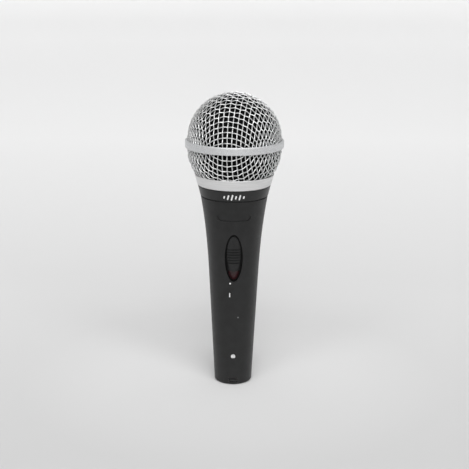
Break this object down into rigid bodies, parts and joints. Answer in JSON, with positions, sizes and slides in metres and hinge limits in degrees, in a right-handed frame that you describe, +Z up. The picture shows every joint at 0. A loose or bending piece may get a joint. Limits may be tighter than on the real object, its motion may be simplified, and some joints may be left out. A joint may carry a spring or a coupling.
{
  "type": "dynamic microphone",
  "caption": "Handheld vocal microphone with a woven ball grille, tapered handle, slide switch and a recessed connector in its lower end.",
  "frame": {"origin": "centre of the bottom rim, on the surface that the microphone stands on", "axes": "+Z up along the handle, -Y towards the side with the switch, +X to the right seen from that side"},
  "size_m": [0.0538, 0.0538, 0.1644],
  "materials": {
    "handle_enamel": "satin black enamel on a die-cast handle",
    "label_enamel": "smooth satin black ring",
    "silver_paint": "fine metallic silver paint",
    "steel_wire": "woven wire, matte nickel plate",
    "foam": "open-cell black foam",
    "black_rubber": "soft matte rubber",
    "black_plastic": "fine-grained black moulding",
    "gloss_black": "polished black moulding",
    "slider_plastic": "dark grey moulding",
    "red_plastic": "dull red moulding",
    "white_plastic": "natural acetal",
    "phenolic": "brown laminated board",
    "nickel_pin": "nickel-plated contact",
    "screw_steel": "zinc-plated screw",
    "magnet_steel": "ground steel",
    "brass_tag": "tinned brass tag",
    "copper_wire": "enamelled copper winding",
    "film": "thin polyester film",
    "screen_cloth": "fine acoustic cloth",
    "red_sleeve": "red insulation",
    "black_sleeve": "black insulation",
    "green_sleeve": "green insulation"
  },
  "bodies": {
    "handle": {"handle_shell": "handle_enamel", "label_ring": "label_enamel", "shock_mount": "black_rubber", "cartridge_body": "black_plastic", "rear_port_screen": "screen_cloth", "terminal_plate": "phenolic", "cartridge_terminals": "brass_tag", "magnet_cup": "magnet_steel", "magnet": "magnet_steel", "pole_piece": "magnet_steel", "diaphragm_surround": "film", "diaphragm_clamp": "black_plastic", "front_screen": "screen_cloth", "resonator_cap": "black_plastic", "switch_bezel": "gloss_black", "switch_indicator": "red_plastic", "switch_bracket": "screw_steel", "bracket_screws": "screw_steel", "bracket_washer": "screw_steel", "ground_tag": "brass_tag", "switch_housing": "screw_steel", "switch_base": "phenolic", "switch_terminals": "brass_tag", "connector_insert": "black_plastic", "contact_pin_1": "nickel_pin", "contact_pin_2": "nickel_pin", "contact_pin_3": "nickel_pin", "connector_screw": "screw_steel", "lead_hot_upper": "red_sleeve", "lead_cold_upper": "black_sleeve", "lead_hot_lower": "red_sleeve", "lead_cold_lower": "black_sleeve", "lead_ground": "green_sleeve"},
    "switch": {"switch_slider": "slider_plastic", "switch_actuator": "white_plastic", "switch_contact": "brass_tag"},
    "moving_coil": {"diaphragm": "film", "voice_coil": "copper_wire"},
    "gasket": {"grille_gasket": "black_rubber"},
    "foam": {"foam_liner": "foam"},
    "grille": {"grille_collar": "silver_paint", "grille_lower_mesh": "steel_wire", "grille_band": "silver_paint", "grille_dome_mesh": "steel_wire"}
  },
  "joints": [
    {"name": "switch_slide", "type": "slide", "parent": "handle", "child": "switch", "axis": [0, 0.0799, -0.9968], "range_m": [0, 0.0044]},
    {"name": "coil_travel", "type": "slide", "parent": "handle", "child": "moving_coil", "axis": [0, 0, 1], "range_m": [-0.00025, 0.00025], "stiffness_N_per_m": 300},
    {"name": "grille_rise", "type": "slide", "parent": "handle", "child": "gasket", "axis": [0, 0, 1], "range_m": [0, 0.00401]},
    {"name": "grille_lift_off", "type": "slide", "parent": "gasket", "child": "foam", "axis": [0, 0, 1], "range_m": [0, 0.04]},
    {"name": "grille_turn", "type": "hinge", "parent": "foam", "child": "grille", "pos_m": [0, 0, 0.117], "axis": [0, 0, 1], "range_deg": [0, 1440]}
  ],
  "couplings": [
    {"joint": "grille_rise", "follows": "grille_turn", "m_per_rad": 0.00015915}
  ]
}
